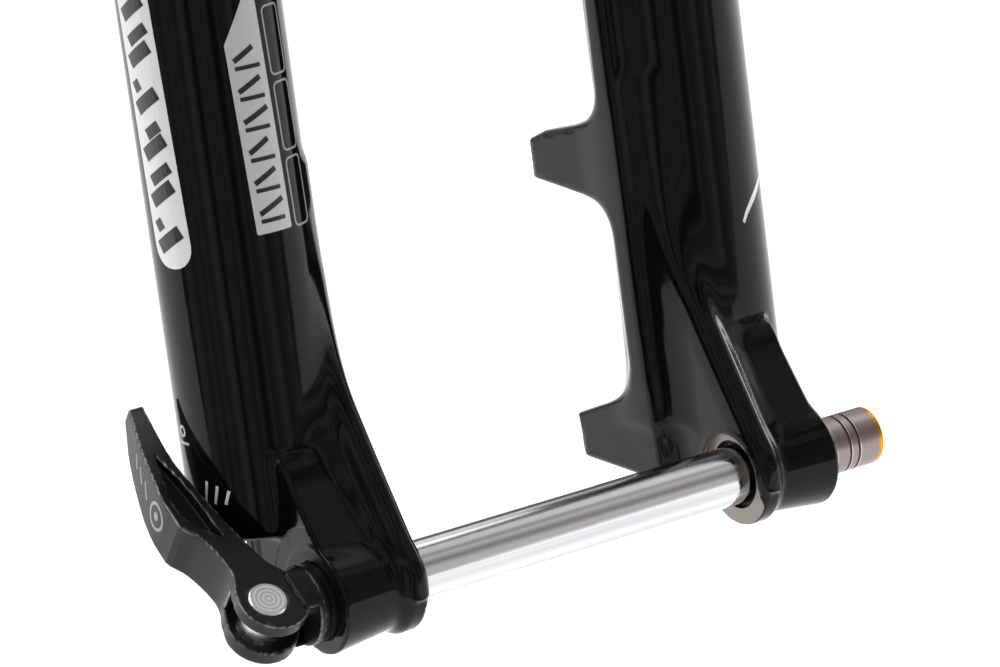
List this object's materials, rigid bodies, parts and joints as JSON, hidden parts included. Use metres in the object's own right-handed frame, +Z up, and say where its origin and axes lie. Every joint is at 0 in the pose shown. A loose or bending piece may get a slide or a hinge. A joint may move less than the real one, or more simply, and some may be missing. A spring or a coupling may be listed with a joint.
{
  "type": "suspension fork",
  "caption": "Telescopic bicycle suspension fork with tapered steerer, cast lower legs, rear-facing brake posts and a cam-lever through axle.",
  "frame": {"origin": "centre of the crown race seat, on the steerer axis, at the top face of the crown", "axes": "+Z up the steerer axis, -Y forward, +X to the rider's left"},
  "size_m": [0.1927, 0.0899, 0.7574],
  "materials": {
    "gloss_black": "gloss",
    "crown_black": "satin",
    "raw_aluminium": "satin",
    "hard_chrome": "polished",
    "polished_aluminium": "polished",
    "black_anodised": "satin",
    "turned_pin": "turned",
    "brown_metal": "brushed",
    "amber_anodised": "gloss",
    "steel": "brushed",
    "black_oxide": "satin",
    "seal_rubber": "matte",
    "bump_rubber": "matte",
    "foam": "open cell",
    "bearing_bronze": "satin",
    "valve_brass": "satin",
    "piston_plastic": "matte",
    "cap_plastic": "matte",
    "dial_blue": "anodised satin",
    "knob_grey": "anodised satin",
    "copper": "annealed",
    "decal_white": "printed film",
    "decal_silver": "printed film",
    "decal_black": "printed film",
    "decal_grey": "printed film"
  },
  "bodies": {
    "upper": {"steerer_tube": "raw_aluminium", "crown": "crown_black", "stanchion_left": "hard_chrome", "stanchion_right": "hard_chrome", "air_top_cap": "black_anodised", "damper_top_cap": "black_anodised", "top_cap_orings": "seal_rubber", "air_valve_body": "valve_brass", "damper_cartridge": "raw_aluminium", "air_seal_head": "piston_plastic", "damper_seal_head": "raw_aluminium", "seal_head_circlips": "steel", "seal_head_orings": "seal_rubber", "shaft_seals": "seal_rubber", "negative_spring": "steel"},
    "valve_pin": {"air_valve_pin": "steel"},
    "valve_cap": {"air_valve_cap": "cap_plastic"},
    "lockout": {"lockout_knob": "dial_blue", "lockout_spindle": "steel", "lockout_screw": "steel"},
    "lowers": {"lower_casting": "gloss_black", "dust_wiper_left": "seal_rubber", "dust_wiper_right": "seal_rubber", "garter_springs": "steel", "foam_ring_left": "foam", "foam_ring_right": "foam", "upper_bushing_left": "bearing_bronze", "upper_bushing_right": "bearing_bronze", "lower_bushing_left": "bearing_bronze", "lower_bushing_right": "bearing_bronze", "air_shaft": "polished_aluminium", "air_piston": "piston_plastic", "air_piston_seal": "seal_rubber", "bump_stops": "bump_rubber", "damper_shaft": "steel", "rebound_piston": "raw_aluminium", "piston_ring": "piston_plastic", "rebound_shims": "steel", "crush_washers": "copper", "air_foot_bolt": "black_oxide", "damper_foot_bolt": "black_oxide", "hose_guide": "cap_plastic", "hose_guide_screw": "black_oxide"},
    "sag_marker": {"sag_ring": "seal_rubber"},
    "rebound": {"rebound_knob": "knob_grey", "rebound_needle": "steel"},
    "axle": {"axle_tube": "polished_aluminium", "cam_cup": "black_anodised"},
    "rod": {"draw_rod": "steel", "lever_pin": "turned_pin"},
    "lever": {"cam_lever": "black_anodised"},
    "nut": {"tension_nut": "brown_metal", "nut_end_ring": "amber_anodised"}
  },
  "joints": [
    {"name": "suspension_travel", "type": "slide", "parent": "upper", "child": "lowers", "axis": [0, 0, 1], "range_m": [0, 0.1], "stiffness_N_per_m": 7000, "springref_m": -0.01},
    {"name": "sag_ring_slide", "type": "slide", "parent": "upper", "child": "sag_marker", "axis": [0, 0, 1], "range_m": [0, 0.1]},
    {"name": "lockout_turn", "type": "hinge", "parent": "upper", "child": "lockout", "pos_m": [-0.0663, -0.0168, 0.01], "axis": [0, 0, -1], "range_deg": [0, 90]},
    {"name": "valve_cap_lift", "type": "slide", "parent": "upper", "child": "valve_cap", "axis": [0, 0, 1], "range_m": [0, 0.03]},
    {"name": "valve_pin_push", "type": "slide", "parent": "upper", "child": "valve_pin", "axis": [0, 0, -1], "range_m": [0, 0.0015], "stiffness_N_per_m": 600, "springref_m": -0.0005},
    {"name": "rebound_turn", "type": "hinge", "parent": "lowers", "child": "rebound", "pos_m": [-0.0663, -0.0168, -0.497], "axis": [0, 0, 1], "range_deg": [-180, 180]},
    {"name": "axle_withdraw", "type": "slide", "parent": "lowers", "child": "axle", "axis": [-1, 0, 0], "range_m": [0, 0.17]},
    {"name": "cam_pull", "type": "slide", "parent": "axle", "child": "rod", "axis": [1, 0, 0], "range_m": [0, 0.0012]},
    {"name": "lever_turn", "type": "hinge", "parent": "rod", "child": "lever", "pos_m": [-0.0896, -0.046, -0.504], "axis": [0, -0.6561, 0.7547], "range_deg": [0, 160]},
    {"name": "nut_turn", "type": "hinge", "parent": "rod", "child": "nut", "pos_m": [0.083, -0.046, -0.504], "axis": [1, 0, 0], "continuous": true}
  ],
  "couplings": [
    {"joint": "sag_ring_slide", "follows": "suspension_travel", "ratio": 1},
    {"joint": "cam_pull", "follows": "lever_turn", "m_per_rad": 0.00042}
  ]
}
